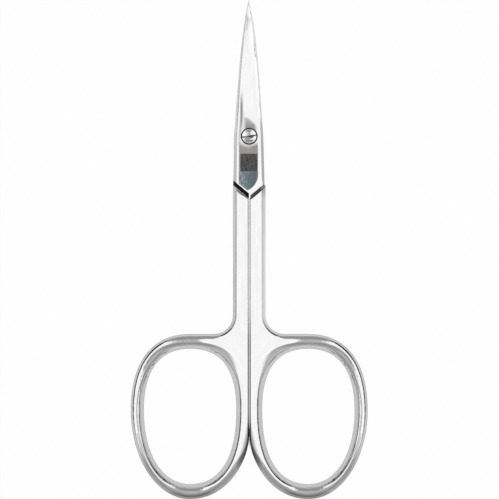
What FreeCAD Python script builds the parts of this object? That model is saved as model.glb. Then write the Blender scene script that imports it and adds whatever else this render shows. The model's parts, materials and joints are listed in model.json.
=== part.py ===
import FreeCAD, Part
import math
import os

# Curved cuticle scissors, closed and lying on their back: two forged steel halves that cross at a
# slotted pivot screw. Lengths are in millimetres. +Y points from the bows to the points, +Z points
# out of the face that carries the screw head, and the origin is under the middle of the whole outline.
# Both halves are drawn round the pivot axis first and moved to the origin at the end.

# Steel stock and running clearances
steel_thickness = 2.8       # shanks and bows, full thickness
lap_clearance = 0.05        # between the two halves where they slide on each other
slit_gap = 0.08             # between the two shanks when closed
overrun = 3.0               # how far a cutting block reaches past what it cuts

# Bows: a finger hole inside an oval limb
hole_half_width = 8.37
hole_top_half = 11.1       # middle of the hole to its edge nearest the shank
hole_end_half = 13.4        # middle of the hole to its far edge
inner_limb_width = 2.28     # beside the slit
outer_limb_width = 2.36
bow_top_width = 2.66
bow_end_width = 2.7
bow_cut_back = 0.75         # the limb's oval would reach this far past the slit
bow_reach = 49.47           # pivot axis to the middle of the holes
hole_outer_top_fullness_share = 0.65
hole_inner_top_fullness_share = 0.675
hole_inner_end_fullness_share = 0.65
hole_outer_end_fullness_share = 0.6
bow_top_fullness_share = 0.64
bow_outer_end_fullness_share = 0.555
bow_inner_end_fullness_share = 0.585
shank_root_radius = 3.4     # inside corner between shank and bow
fork_radius = 12.0          # where the slit opens between the bows

# Shanks, and the rounding of all handle edges
shank_half_width = 2.9      # slit to the outer edge
rim_radius = 1.15           # the bow's and the shank's outer edge
fork_edge_radius = 1.1      # where the slit opens between the bows
slit_edge_radius = 0.2      # the fork's rounding thins out to this, and the bevel then takes over
slit_bevel_width = 0.25     # straight bevel along the slit
slit_bevel_depth = 0.3
hole_flank_width = 1.38     # from the finger hole's narrowest edge up to the bow's flat
# Profile of that flank, from the middle of the steel outwards: across, then towards the flat
hole_flank_shares = [(0, -0.1), (0, 0.08), (0.08, 0.26), (0.22, 0.46), (0.36, 0.65), (0.49, 0.81),
                     (0.6, 0.91), (0.72, 0.965), (0.85, 0.992), (1, 1)]
hole_top_fullness_gain_share = 0.12   # the flank is widest in the corners nearest the shank
hole_end_fullness_gain_share = 0.02

# Lock, where the halves cross. It ends in a V: a free arm over the other half's shoulder, and a
# notch that parts it from its own shank
lock_reach = 10.38          # pivot axis to the point of the V
lock_left_width = 2.75      # pivot axis to the left edge
lock_right_width = 2.53     # pivot axis to the right edge
lock_right_step = 0.12      # at the V, inside the shank's outer edge on the right
free_arm_angle = 39.8
shoulder_gap = 0.68         # from the free arm to the other half's shoulder
shoulder_bevel_angle = 32.0
shoulder_bevel_reach = 0.3  # down the slit, below the shoulder
shoulder_bevel_slope_share = 0.6
arm_bevel_width = 0.26
notch_angle = 40.0
notch_reach = 11.25         # pivot axis to where the notch's line meets the slit
notch_width = 0.68
notch_floor_share = 0.3
notch_depth = 0.46
notch_start = 0.2           # slit to the notch's inner end
shield_start = 6.7          # pivot axis to where the lock face begins to narrow
shield_radius = 3.2

# Sides and chamfers along lock and blade, at the pivot
back_side_width = 0.58      # the side leans in by this, up to the chamfer
back_side_height = 0.95
back_chamfer_width = 0.36
front_side_width = 0.46
front_side_height = 0.85
front_chamfer_width = 0.5
chamfer_drop = 0.14

# Etched field on the lock face of the half with the screw head
etch_width = 3.08
etch_length = 3.22
etch_reach = 4.75           # pivot axis to the middle of the field
etch_depth = 0.03

# Blades
blade_reach = 24.43         # pivot axis to the points
bend_start = 3.0            # pivot axis to where the curve begins
bend_radius = 46.0
grind_start = 1.6           # pivot axis to where the sloping blade face begins to leave the lock face
grind_run = 5.0
cutting_edge_thickness = 0.16
cutting_bevel_width = 0.3
cutting_bevel_rise = 0.1
cutting_edge_inset = 0.22   # cutting edge inside the other blade's back
point_half_width = 0.13
point_thickness = 0.34
taper_share = 0.66          # share of the narrowing that is spread evenly over the blade
taper_power = 3.6           # the rest comes in towards the point
lock_stations = 5
blade_stations = 13

# Pivot screw
head_diameter = 2.64
head_recess_diameter = 3.04
head_height = 0.6
head_dome = 0.14
head_play = 0.03            # under the head
slot_width = 0.3
slot_depth = 0.36
slot_turn = 8.0
bearing_diameter = 2.1
bearing_clearance = 0.03    # all round the bearing
stud_diameter = 1.7
peened_flare = 0.22

# Derived places, seen from the pivot axis
lap_height = steel_thickness / 2
half_lap = lap_clearance / 2
half_slit = slit_gap / 2
shank_edge = half_slit + shank_half_width
bow_offset = half_slit + inner_limb_width + hole_half_width
bow_top_half = hole_top_half + bow_top_width
bow_end_half = hole_end_half + bow_end_width
chamfer_slope = chamfer_drop / front_chamfer_width
pivot_place = (bow_reach + bow_end_half - blade_reach) / 2


def point(x, y, z=0.0):
    return FreeCAD.Vector(x, y, z)


def block(x_low, x_high, y_low, y_high, z_low, z_high):
    corner = point(x_low, y_low, z_low)
    return Part.makeBox(x_high - x_low, y_high - y_low, z_high - z_low, corner)


def prism(corners, z_low, z_high):
    """Upright prism over a closed outline of plan points."""
    loop = Part.makePolygon([point(x, y, z_low) for x, y in corners + corners[:1]])
    return Part.Face(loop).extrude(point(0, 0, z_high - z_low))


def rail(start, angle, length, profile):
    """Straight bar in the XY plane; its profile lists places to the left of the line and heights."""
    along = point(math.cos(math.radians(angle)), math.sin(math.radians(angle)))
    left = point(-along.y, along.x)
    corners = [start + left * aside + point(0, 0, height) for aside, height in profile]
    return Part.Face(Part.makePolygon(corners + corners[:1])).extrude(along * length)


def disc(radius, z_low, z_high):
    return Part.makeCylinder(radius, z_high - z_low, point(0, 0, z_low))


def curve(*poles):
    line = Part.BezierCurve()
    line.setPoles(list(poles))
    return line.toShape()


def oval_quarter(middle, side, end, fullness_share):
    """A quarter oval from the side of an outline to its end."""
    return curve(
        middle + point(side, 0),
        middle + point(side, end * fullness_share),
        middle + point(side * fullness_share, end),
        middle + point(0, end),
    )


def oval(middle, outer, inner, top, end, fullness_shares):
    """Closed outline of four quarter ovals."""
    top_outer, top_inner, end_inner, end_outer = fullness_shares
    quarters = [
        oval_quarter(middle, outer, top, top_outer),
        oval_quarter(middle, -inner, top, top_inner),
        oval_quarter(middle, -inner, -end, end_inner),
        oval_quarter(middle, outer, -end, end_outer),
    ]
    return Part.Wire(Part.__sortEdges__(quarters))


def turned(shape):
    """The same shape for the half underneath: half a turn about the line through the lap."""
    copy = shape.copy()
    copy.rotate(point(0, 0, lap_height), point(0, 1, 0), 180)
    return copy


# Handle of one half: a straight shank and an oval bow
def is_upright(edge):
    low, high = edge.BoundBox.ZMin, edge.BoundBox.ZMax
    return high - low > steel_thickness / 2


def plain_handle():
    """Shank and bow as a flat plate, with the shank running on to the pivot."""
    middle = point(bow_offset, -bow_reach)
    outline = oval(
        middle,
        hole_half_width + outer_limb_width,
        bow_offset + bow_cut_back,
        bow_top_half,
        bow_end_half,
        [bow_top_fullness_share, bow_top_fullness_share,
         bow_inner_end_fullness_share, bow_outer_end_fullness_share],
    )
    bow = Part.Face(outline).extrude(point(0, 0, steel_thickness))
    slit_side = block(-overrun, half_slit, -bow_reach - bow_end_half, 0, -overrun,
                      steel_thickness + overrun)
    shank = block(half_slit, shank_edge, -bow_reach, 0, 0, steel_thickness)
    shoulder = block(half_slit, bow_offset, -bow_reach, -bow_reach + bow_top_half, 0, steel_thickness)
    plate = bow.cut(slit_side).fuse([shank, shoulder]).removeSplitter()
    roots = [e for e in plate.Edges if is_upright(e) and e.CenterOfMass.y < -lock_reach
             and abs(e.CenterOfMass.x - shank_edge) < half_slit]
    plate = plate.makeFillet(shank_root_radius, roots)
    forks = [e for e in plate.Edges if is_upright(e) and e.CenterOfMass.y < -bow_reach
             and abs(e.CenterOfMass.x - half_slit) < half_slit]
    return plate.makeFillet(fork_radius, forks)


def finger_hole():
    """Room of the finger hole below the lap, with the flank that leads up to it."""
    rings = []
    for across_share, down_share in hole_flank_shares:
        reach = hole_flank_width * across_share
        top_gain = hole_top_fullness_gain_share * across_share
        end_gain = hole_end_fullness_gain_share * across_share
        rings.append(oval(
            point(bow_offset, -bow_reach, lap_height * (1 - down_share)),
            hole_half_width + reach,
            hole_half_width + reach,
            hole_top_half + reach,
            hole_end_half + reach,
            [hole_outer_top_fullness_share + top_gain, hole_inner_top_fullness_share + top_gain,
             hole_inner_end_fullness_share + end_gain, hole_outer_end_fullness_share + end_gain],
        ))
    return Part.makeLoft(rings, True, False)


def edge_radii(edge):
    """Rounding of one edge of the handle at its two ends, in the order in which the outline runs."""
    spot = edge.CenterOfMass
    if abs(spot.x - half_slit) < half_slit / 2 and spot.y > -bow_reach:
        return slit_edge_radius, slit_edge_radius
    if spot.x < inner_limb_width and spot.y < -bow_reach:
        return fork_edge_radius, slit_edge_radius
    if spot.x < bow_offset and spot.y < -bow_reach:
        return rim_radius, fork_edge_radius
    return rim_radius, rim_radius


def rounded(shape):
    """Rounds the lower rim of the handle's outline."""
    page = FreeCAD.newDocument("rounding")
    base = page.addObject("Part::Feature", "base")
    base.Shape = shape
    radii = []
    for number, edge in enumerate(shape.Edges, 1):
        if edge.BoundBox.ZMax < half_slit and edge.CenterOfMass.y < -half_slit:
            first, second = edge_radii(edge)
            radii.append((number, first, second))
    fillet = page.addObject("Part::Fillet", "fillet")
    fillet.Base = base
    fillet.Edges = radii
    page.recompute()
    result = fillet.Shape.copy()
    FreeCAD.closeDocument(page.Name)
    return result


def slit_chamfer():
    """Straight bevel along the slit, below the lap."""
    run = slit_bevel_width + overrun
    drop = slit_bevel_depth * run / slit_bevel_width
    corners = [
        point(half_slit + slit_bevel_width, 0, 0),
        point(half_slit - overrun, 0, drop),
        point(half_slit - overrun, 0, -overrun),
        point(half_slit + slit_bevel_width, 0, -overrun),
    ]
    end = Part.Face(Part.makePolygon(corners + corners[:1]))
    return end.extrude(point(0, -bow_reach - bow_end_half, 0))


def handle():
    """Shank and bow of the half on the right, its rim rounded below and mirrored above."""
    far = bow_reach + bow_end_half + overrun
    lower = block(-far, far, -far, far, 0, lap_height)
    lower = lower.common(rounded(plain_handle())).cut(finger_hole()).cut(slit_chamfer())
    upper = lower.mirror(point(0, 0, lap_height), point(0, 0, 1))
    return lower.fuse(upper).removeSplitter()


# Lock and blade, drawn in rounded sections along the lap, which is level at the lock and then bends up
bend_angle = math.asin((blade_reach - bend_start) / (bend_radius + point_thickness))


def on_lap(along, across, above):
    """Place at a distance along the lap, across it, and square off it."""
    if along <= bend_start:
        return point(across, along, lap_height + above)
    angle = (along - bend_start) / bend_radius
    radius = bend_radius - above
    return point(across, bend_start + radius * math.sin(angle),
                 lap_height + bend_radius - radius * math.cos(angle))


def edge_width(along, on_right):
    """Pivot line to the left or the right edge of the closed lock and blades, as seen from above."""
    at_pivot = lock_right_width if on_right else lock_left_width
    at_shank = shank_edge - lock_right_step if on_right else shank_edge
    if along < 0:
        return at_pivot + (at_shank - at_pivot) * -along / lock_reach
    reach_share = min(on_lap(along, 0, 0).y / blade_reach, 1)
    narrowing_share = taper_share * reach_share + (1 - taper_share) * reach_share ** taper_power
    return at_pivot + (point_half_width - at_pivot) * narrowing_share


def blend(low, high, share):
    return low + (high - low) * share


def smooth_share(value):
    value = min(max(value, 0), 1)
    return value * value * (3 - 2 * value)


def section(along, last, side):
    """Closed section of a lock or blade. Side 1 lies on the lap, with its back on the left."""
    back = edge_width(along, side < 0)
    size_share = back / edge_width(0, side < 0)
    ground_share = smooth_share((along - grind_start) / grind_run)
    thickness = blend(lap_height, point_thickness, max(along, 0) / last)
    chamfer = chamfer_drop * size_share
    inner = -back + back_side_width * size_share
    ridge = inner + back_chamfer_width * size_share
    edge = edge_width(along, side > 0) - cutting_edge_inset * ground_share
    lean = blend(front_side_width, 0, ground_share) * size_share
    bevel = blend(front_chamfer_width, cutting_bevel_width, ground_share) * size_share
    edge_top = blend(thickness - chamfer, cutting_edge_thickness, ground_share)
    edge_low = blend(edge_top - front_side_height * size_share, cutting_edge_thickness / 2, ground_share)
    face_end = blend(thickness, cutting_edge_thickness + cutting_bevel_rise, ground_share)
    lean = max(lean, cutting_edge_thickness / 2)
    root = -lap_height / 2
    back_top = thickness - chamfer
    back_low = back_top - back_side_height * size_share

    def at(across, above):
        return on_lap(along, side * across, side * above)

    return Part.Wire([
        Part.makeLine(at(-back, root), at(-back, back_low)),
        curve(at(-back, back_low),
              at(-back, blend(back_low, back_top, 1 / 3)),
              at(blend(-back, inner, 1 / 2), blend(back_low, back_top, 2 / 3)),
              at(inner, back_top)),
        Part.makeLine(at(inner, back_top), at(ridge, thickness)),
        Part.makeLine(at(ridge, thickness), at(edge - lean - bevel, face_end)),
        Part.makeLine(at(edge - lean - bevel, face_end), at(edge - lean, edge_top)),
        curve(at(edge - lean, edge_top),
              at(edge - lean / 2, blend(edge_top, edge_low, 1 / 3)),
              at(edge, blend(edge_top, edge_low, 2 / 3)),
              at(edge, edge_low)),
        Part.makeLine(at(edge, edge_low), at(edge, root)),
        Part.makeLine(at(edge, root), at(-back, root)),
    ])


def lap_room(side):
    """Everything above the lap, or below it, with half of the clearance left free."""
    low = lap_height + side * half_lap
    radius = bend_radius - side * half_lap
    angle = 2 * bend_angle

    def on_arc(turn):
        return point(0, bend_start + radius * math.sin(turn), lap_height + bend_radius - radius * math.cos(turn))

    far = lock_reach + shank_edge + overrun
    start = point(0, -far, low)
    arc = Part.Arc(on_arc(0), on_arc(angle / 2), on_arc(angle)).toShape()
    rise = point(0, 0, side * bend_radius)
    corners = [on_arc(angle), point(0, on_arc(angle).y, rise.z), point(0, -far, rise.z), start, on_arc(0)]
    loop = Part.Wire([arc, Part.makePolygon(corners)])
    room = Part.Face(loop).extrude(point(2 * far, 0, 0))
    room.translate(point(-far, 0, 0))
    return room


def lock_and_blade(side):
    last = bend_start + bend_radius * bend_angle
    low = -lock_reach - shank_edge
    places = [blend(low, 0, n / lock_stations) for n in range(lock_stations)]
    places += [blend(0, last, n / blade_stations) for n in range(blade_stations + 1)]
    body = Part.makeLoft([section(place, last, side) for place in places], True, False)
    return body.common(lap_room(side))


# Cuts that shape the V of the lock and the shoulder under it, drawn for the half on the right
far_side = shank_edge + overrun
far_up = blade_reach + overrun
arm_start = point(half_slit, -lock_reach)
notch_line = point(half_slit, -notch_reach)
arm_slant = math.tan(math.radians(free_arm_angle))
notch_slant = math.tan(math.radians(notch_angle))


def lock_plan():
    """Plan of the lock and blade: above the free arm and above the notch's line."""
    sunk = notch_width / 4
    corners = [
        (half_slit, -notch_reach - sunk),
        (half_slit + far_side, -notch_reach - sunk + far_side * notch_slant),
        (half_slit + far_side, far_up),
        (half_slit - far_side, far_up),
        (half_slit - far_side, -lock_reach + far_side * arm_slant),
        (half_slit, -lock_reach),
    ]
    return prism(corners, -bend_radius, bend_radius)


def above_line(start, slant, z_low, z_high):
    """Everything beyond a slanting line, from a point on the line to the right."""
    corners = [
        (start.x - far_side, start.y - far_side * slant),
        (start.x + far_side, start.y + far_side * slant),
        (start.x + far_side, far_up),
        (start.x - far_side, far_up),
    ]
    return prism(corners, z_low, z_high)


def shoulder_start():
    """Where the shoulder's line meets the slit, seen on the half on the right."""
    return point(-half_slit, -lock_reach - shoulder_gap / math.cos(math.radians(free_arm_angle)))


def shank_with_shoulder(grip):
    """The handle cut back to its shoulder under the other lock and to the notch's line above."""
    shoulder = shoulder_start()
    cut_level = lap_height + half_lap
    grip = grip.cut(above_line(shoulder, arm_slant, -overrun, cut_level))
    grip = grip.cut(above_line(notch_line, notch_slant, cut_level, steel_thickness + overrun))
    bevel = [
        (0, 0),
        (overrun, overrun * shoulder_bevel_slope_share),
        (overrun, -overrun),
        (0, -overrun),
    ]
    bevel_start = shoulder - point(0, shoulder_bevel_reach)
    return grip.cut(rail(bevel_start, shoulder_bevel_angle, far_side * 2, bevel))


def arm_bevel():
    """Chamfer along the free arm of the lock."""
    top = steel_thickness
    fall = chamfer_slope * overrun
    profile = [
        (-arm_bevel_width, top),
        (-arm_bevel_width, top + overrun),
        (overrun, top + overrun),
        (overrun, top - chamfer_slope * arm_bevel_width - fall),
    ]
    return rail(arm_start, 180 - free_arm_angle, far_side * 2, profile)


def shield_bevel():
    """Curved chamfer that narrows the lock face towards the point of the V."""
    straight = edge_width(-shield_start, True) - front_side_width - front_chamfer_width
    spread = lock_reach
    cone = Part.makeCone(shield_radius + spread, shield_radius, spread * chamfer_slope,
                         point(straight - shield_radius, -shield_start, steel_thickness - spread * chamfer_slope))
    surround = block(-far_side, far_side, -lock_reach - far_side, -shield_start,
                     steel_thickness - spread * chamfer_slope, steel_thickness + overrun)
    return surround.cut(cone)


def notch():
    half = notch_width / 2
    floor = half * notch_floor_share
    profile = [
        (-floor, steel_thickness - notch_depth),
        (floor, steel_thickness - notch_depth),
        (half, steel_thickness),
        (half, steel_thickness + overrun),
        (-half, steel_thickness + overrun),
        (-half, steel_thickness),
    ]
    start = point(half_slit + notch_start, -notch_reach + notch_start * notch_slant)
    return rail(start, notch_angle, far_side * 2, profile)


def half(side, grip):
    """One forged half, round the pivot axis: side 1 carries the screw head, side -1 lies underneath."""
    def place(shape):
        return shape if side > 0 else turned(shape)

    body = lock_and_blade(side).common(place(lock_plan()))
    body = body.cut(place(arm_bevel())).cut(place(shield_bevel()))
    body = body.fuse(place(shank_with_shoulder(grip)))
    return body.cut(place(notch()))


# Pivot screw and the holes that it goes through
head_radius = head_diameter / 2
head_seat = steel_thickness - head_height
recess_floor = head_seat - head_play
bearing_radius = bearing_diameter / 2
stud_radius = stud_diameter / 2
stud_top = lap_height - half_lap


def stud(radius_low, radius_high):
    """Riveted end below, then the plain length in the lower half."""
    flare = Part.makeCone(radius_low, radius_high, peened_flare, point(0, 0, 0))
    return flare.fuse(disc(radius_high, peened_flare, stud_top))


def pivot_screw():
    crown = (head_radius ** 2 + head_dome ** 2) / (2 * head_dome)
    dome = Part.makeSphere(crown, point(0, 0, steel_thickness + head_dome - crown))
    head = disc(head_radius, head_seat, steel_thickness + head_dome).common(dome)
    body = stud(stud_radius + peened_flare, stud_radius)
    body = body.fuse(disc(bearing_radius, stud_top, head_seat)).fuse(head)
    slot = block(-head_diameter, head_diameter, -slot_width / 2, slot_width / 2,
                 steel_thickness + head_dome - slot_depth, steel_thickness + overrun)
    slot.rotate(point(0, 0, 0), point(0, 0, 1), slot_turn)
    return body.cut(slot).removeSplitter()


grip = handle()
etching = block(-etch_width / 2, etch_width / 2, -etch_reach - etch_length / 2, -etch_reach + etch_length / 2,
                steel_thickness - etch_depth, steel_thickness + overrun)
upper_half = half(1, grip)
upper_half = upper_half.cut(disc(bearing_radius + bearing_clearance, 0, steel_thickness + overrun))
upper_half = upper_half.cut(disc(head_recess_diameter / 2, recess_floor, steel_thickness + overrun))
upper_half = upper_half.cut(etching)
lower_half = half(-1, grip).cut(stud(stud_radius + peened_flare, stud_radius))

pieces = {
    "upper_half": upper_half,
    "lower_half": lower_half,
    "pivot_screw": pivot_screw(),
}
os.makedirs("parts", exist_ok=True)
for name, shape in pieces.items():
    solid = shape.Solids[0]
    solid.translate(point(0, pivot_place, 0))
    solid.exportStep(os.path.join("parts", name + ".step"))
    print(name, len(shape.Solids), solid.isValid(), len(solid.Faces), round(solid.Volume, 2))
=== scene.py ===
# %% [markdown]
# # Curved cuticle scissors
#
# A pair of small forged scissors lies closed on a white table and is seen from straight above.
# The real object is three pieces of steel: a half with the lock face on top, a half underneath and
# a slotted pivot screw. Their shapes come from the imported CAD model, so this lesson is about
# finishes: how one piece of polished steel gets a lapped grey face, a dark etched field, fine
# lengthwise polishing lines and hand marks, all from node-based masks.

# %% Load the frame
import json
import math

import bmesh
import bpy
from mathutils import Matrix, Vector

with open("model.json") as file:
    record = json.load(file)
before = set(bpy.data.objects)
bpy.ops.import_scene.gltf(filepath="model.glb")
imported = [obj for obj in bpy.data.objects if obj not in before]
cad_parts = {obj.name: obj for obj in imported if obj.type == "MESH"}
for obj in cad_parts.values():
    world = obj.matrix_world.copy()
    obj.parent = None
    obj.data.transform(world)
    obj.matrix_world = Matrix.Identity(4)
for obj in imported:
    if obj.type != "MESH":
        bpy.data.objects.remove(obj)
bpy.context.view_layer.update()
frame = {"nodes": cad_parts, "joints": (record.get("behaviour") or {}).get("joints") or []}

# %% [markdown]
# All sizes below are in metres, except inside the materials, where places are counted in
# millimetres from the screw. The screw's place is read from the joint in the frame, and the middle
# of each finger hole is counted from it.

# %% Places on the object
MM = 0.001
BOW_ASIDE = 10.69
BOW_BELOW = 49.47
pivot = Vector(frame["joints"][0]["pos_m"])
print("pivot", tuple(pivot), "finger holes", BOW_ASIDE, "mm aside and", BOW_BELOW, "mm below it")

# %% [markdown]
# ## Camera
#
# The photograph looks straight down with the points at the top, from far away, so the sides of
# the steel hardly show. A long lens at a distance does the same. The view is sized so that the
# scissors fill a square frame from top to bottom.

# %% Camera
LENS = 300.0
SENSOR = 36.0
VIEW_HEIGHT = 90.4 * MM
VIEW_MIDDLE = Vector((0.05 * MM, 0.13 * MM, 0.0))
CLIP_DISTANCES = 8

camera_data = bpy.data.cameras.new("camera")
camera_data.lens = LENS
camera_data.sensor_width = SENSOR
camera = bpy.data.objects.new("camera", camera_data)
bpy.context.scene.collection.objects.link(camera)
camera_distance = VIEW_HEIGHT * LENS / SENSOR
camera.location = VIEW_MIDDLE + Vector((0, 0, camera_distance))
camera_data.clip_end = camera_distance * CLIP_DISTANCES
bpy.context.scene.camera = camera
print("camera distance", round(camera_distance, 3))

# %% [markdown]
# ## A few words for nodes
#
# A material here is a small calculation on places: where the lock face ends, how far a point is
# from the bow's middle. The same helpers write such sums in every tree below. Some add one node,
# one maps a value smoothly from one range to another, and one blends two values or two colours.

# %% Node helpers
MIX_VALUES = (2, 3)
MIX_COLOURS = (6, 7)
MIXED_COLOUR = 2


def add_node(tree, kind, **settings):
    node = tree.nodes.new(kind)
    for name, value in settings.items():
        setattr(node, name, value)
    return node


def plug(tree, socket, value):
    """Gives a socket either another node's output or a plain value."""
    if isinstance(value, bpy.types.NodeSocket):
        tree.links.new(value, socket)
    elif value is not None:
        socket.default_value = value


def fade(tree, value, start, end, low=0.0, high=1.0):
    """Goes smoothly from low to high while the value goes from start to end."""
    node = add_node(tree, "ShaderNodeMapRange", interpolation_type="SMOOTHSTEP")
    plug(tree, node.inputs["Value"], value)
    plug(tree, node.inputs["From Min"], start)
    plug(tree, node.inputs["From Max"], end)
    plug(tree, node.inputs["To Min"], low)
    plug(tree, node.inputs["To Max"], high)
    return node.outputs["Result"]


def blend_values(tree, share, first, second):
    node = add_node(tree, "ShaderNodeMix", data_type="FLOAT")
    plug(tree, node.inputs[0], share)
    plug(tree, node.inputs[MIX_VALUES[0]], first)
    plug(tree, node.inputs[MIX_VALUES[1]], second)
    return node.outputs[0]


def blend_colours(tree, share, first, second, mode="MIX"):
    node = add_node(tree, "ShaderNodeMix", data_type="RGBA", blend_type=mode)
    plug(tree, node.inputs[0], share)
    plug(tree, node.inputs[MIX_COLOURS[0]], first)
    plug(tree, node.inputs[MIX_COLOURS[1]], second)
    return node.outputs[MIXED_COLOUR]


def noise(tree, vector, scale, detail=2.0, roughness=0.5):
    node = add_node(tree, "ShaderNodeTexNoise")
    plug(tree, node.inputs["Vector"], vector)
    plug(tree, node.inputs["Scale"], scale)
    plug(tree, node.inputs["Detail"], detail)
    plug(tree, node.inputs["Roughness"], roughness)
    return node.outputs["Fac"]


def grey(value):
    return (value, value, value, 1)


print("node helpers ready; a grey of 0.5 is", grey(0.5))

# %% Sums


def calc(tree, operation, first, second=None, clamp=False):
    node = add_node(tree, "ShaderNodeMath", operation=operation, use_clamp=clamp)
    plug(tree, node.inputs[0], first)
    plug(tree, node.inputs[1], second)
    return node.outputs[0]


def plus(tree, first, second):
    return calc(tree, "ADD", first, second)


def minus(tree, first, second):
    return calc(tree, "SUBTRACT", first, second)


def larger(tree, first, second):
    return calc(tree, "MAXIMUM", first, second)


def smaller(tree, first, second):
    return calc(tree, "MINIMUM", first, second)


def times(tree, first, *others):
    for other in others:
        first = calc(tree, "MULTIPLY", first, other)
    return first


def squares(tree, first, second):
    return plus(tree, times(tree, first, first), times(tree, second, second))


def length(tree, first, second):
    return calc(tree, "POWER", squares(tree, first, second), 0.5)


def distance(tree, across, along, middle):
    return length(tree, minus(tree, across, middle[0]), minus(tree, along, middle[1]))


def apart(tree, value, middle):
    return calc(tree, "ABSOLUTE", minus(tree, value, middle))


def slanted(tree, across, along, slope):
    """One value for all points of a line that falls by the slope from left to right."""
    return plus(tree, along, times(tree, across, slope))


print("sums ready, each word adds a node or a few to a tree")

# %% [markdown]
# Most finishes are masks: 1 where the finish lies and 0 elsewhere. A mask is written as a table of
# limits, and each limit names a place, the value at which it is still 0 and the value at which it
# has reached 1. So ("along", 0.6, 1.0) starts 0.6 mm above the screw and is whole at 1.0 mm. Where a
# limit has two more values, they stand in for the 0 and the 1.

# %% Places and masks


def place(tree, across, along, up=0.0):
    node = add_node(tree, "ShaderNodeCombineXYZ")
    for socket, value in zip(node.inputs, (across, along, up)):
        plug(tree, socket, value)
    return node.outputs[0]


def split(tree, vector):
    node = add_node(tree, "ShaderNodeSeparateXYZ")
    plug(tree, node.inputs[0], vector)
    return node.outputs


def millimetres(tree):
    """Place in millimetres from the screw's axis, from the object's own coordinates."""
    coordinates = add_node(tree, "ShaderNodeTexCoord")
    mapping = add_node(tree, "ShaderNodeMapping")
    plug(tree, mapping.inputs["Vector"], coordinates.outputs["Object"])
    mapping.inputs["Location"].default_value = tuple(-pivot / MM)
    mapping.inputs["Scale"].default_value = (1 / MM, 1 / MM, 1 / MM)
    return mapping.outputs[0]


def where(tree, at, limits):
    """All the limits multiplied, so 1 only where a point is within every one of them."""
    return times(tree, *(fade(tree, at[name], *ends) for name, *ends in limits))


def between(name, low, high, soft):
    """Two limits with soft edges, one at the low end and one at the high end."""
    return (name, low - soft, low + soft), (name, high + soft, high - soft)


def below_line(tree, at, start, end, soft):
    """1 under the line through two places, with a soft edge."""
    slope = (end[1] - start[1]) / (end[0] - start[0])
    height = start[1] - slope * start[0]
    return fade(tree, slanted(tree, at["across"], at["along"], -slope), height + soft, height - soft)


print("limits from 1 to 2 mm up:", between("along", 1.0, 2.0, 0.1))

# %% [markdown]
# ## Table and tent
#
# Polished steel shows what is around it, so the light is the larger part of its look. The steel
# lies on white paper inside a light tent. Two bright panels lean over it from the left and the
# right and nearly meet overhead, where the slot for the camera is. The back and the front of the
# tent are dimmer, and its seam near the table is dark at the sides and grey at the back and the
# front, with a lit foot. A rounded limb that runs up and down the picture therefore shows a bright
# flank on each side, a thin grey line on its crown and a thin dark line just above the table, and a
# limb that runs across shows greys only. The tent's two back posts are dark, and draw a black line
# where a limb turns a corner.
#
# The table is plain paper that looks white to the camera and in reflections. Only in the fork
# between the bows, where steel stands close on both sides of it, does it keep its real shade.

# %% Table
FLOOR_HALF = 1.5
TABLE_GAP = 0.01 * MM
PAPER = 0.9
PAPER_GLOW_SHARE = 0.97
SHADE_REACH = 1.0 * MM
SHADE_SAMPLES = 8
SHADE_LIMITS = (0.12, 0.28)
SHADE_START = (-51.5, -53.6)


def shade_in_fork(tree):
    """1 on open paper, and 0 where the fork's steel hides nearly all of the tent."""
    openness = add_node(tree, "ShaderNodeAmbientOcclusion", samples=SHADE_SAMPLES)
    openness.inputs["Distance"].default_value = SHADE_REACH
    in_fork = fade(tree, split(tree, millimetres(tree))[1], *SHADE_START)
    return blend_values(tree, in_fork, 1.0, fade(tree, openness.outputs["AO"], *SHADE_LIMITS))


def paper_material():
    material = bpy.data.materials.new("white_paper")
    material.use_nodes = True
    tree = material.node_tree
    tree.nodes.clear()
    paper = add_node(tree, "ShaderNodeBsdfDiffuse")
    paper.inputs["Color"].default_value = grey(PAPER)
    glow = add_node(tree, "ShaderNodeEmission")
    glow.inputs["Color"].default_value = grey(1)
    rays = add_node(tree, "ShaderNodeLightPath")
    seen = larger(tree, rays.outputs["Is Camera Ray"], rays.outputs["Is Glossy Ray"])
    seen = larger(tree, seen, rays.outputs["Is Transmission Ray"])
    mix = add_node(tree, "ShaderNodeMixShader")
    plug(tree, mix.inputs["Fac"], times(tree, seen, shade_in_fork(tree), PAPER_GLOW_SHARE))
    plug(tree, mix.inputs[1], paper.outputs["BSDF"])
    plug(tree, mix.inputs[2], glow.outputs["Emission"])
    out = add_node(tree, "ShaderNodeOutputMaterial")
    plug(tree, out.inputs["Surface"], mix.outputs["Shader"])
    return material


floor_mesh = bpy.data.meshes.new("table")
sheet = bmesh.new()
bmesh.ops.create_grid(sheet, x_segments=1, y_segments=1, size=FLOOR_HALF)
bmesh.ops.translate(sheet, verts=sheet.verts, vec=(0, 0, -TABLE_GAP))
sheet.to_mesh(floor_mesh)
sheet.free()
floor = bpy.data.objects.new("table", floor_mesh)
bpy.context.scene.collection.objects.link(floor)
floor_mesh.materials.append(paper_material())
print("table", [round(side, 2) for side in floor.dimensions], "m, paper reflects", PAPER)

# %% [markdown]
# The tent is a sum on the direction of a ray: how far it goes across, along and up. Its walls come
# first. The panels reach down at the sides, and the rest of the wall is the dimmer ends.

# %% Walls of the tent
PANEL_LIGHT = 1.42
SLOT_LIGHT = 0.66
BACK_LIGHTS = (0.64, 0.42)
FRONT_LIGHTS = (0.54, 0.68)
SLOT_HALF_WIDTHS = (0.055, 0.11)
SLOT_HEIGHTS = (0.93, 0.985)
PANEL_ENDS = (0.03, 0.25)
PANEL_SLANTS = (0.2, 1.9)
BACK_HEIGHTS = (0.36, 0.62)
FRONT_WIDTHS = (0.15, 0.5)
FOLD_SPACING = 9.0
FOLD_LIMITS = (0.35, 0.65)
FOLDS = (0.88, 1.1)


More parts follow.
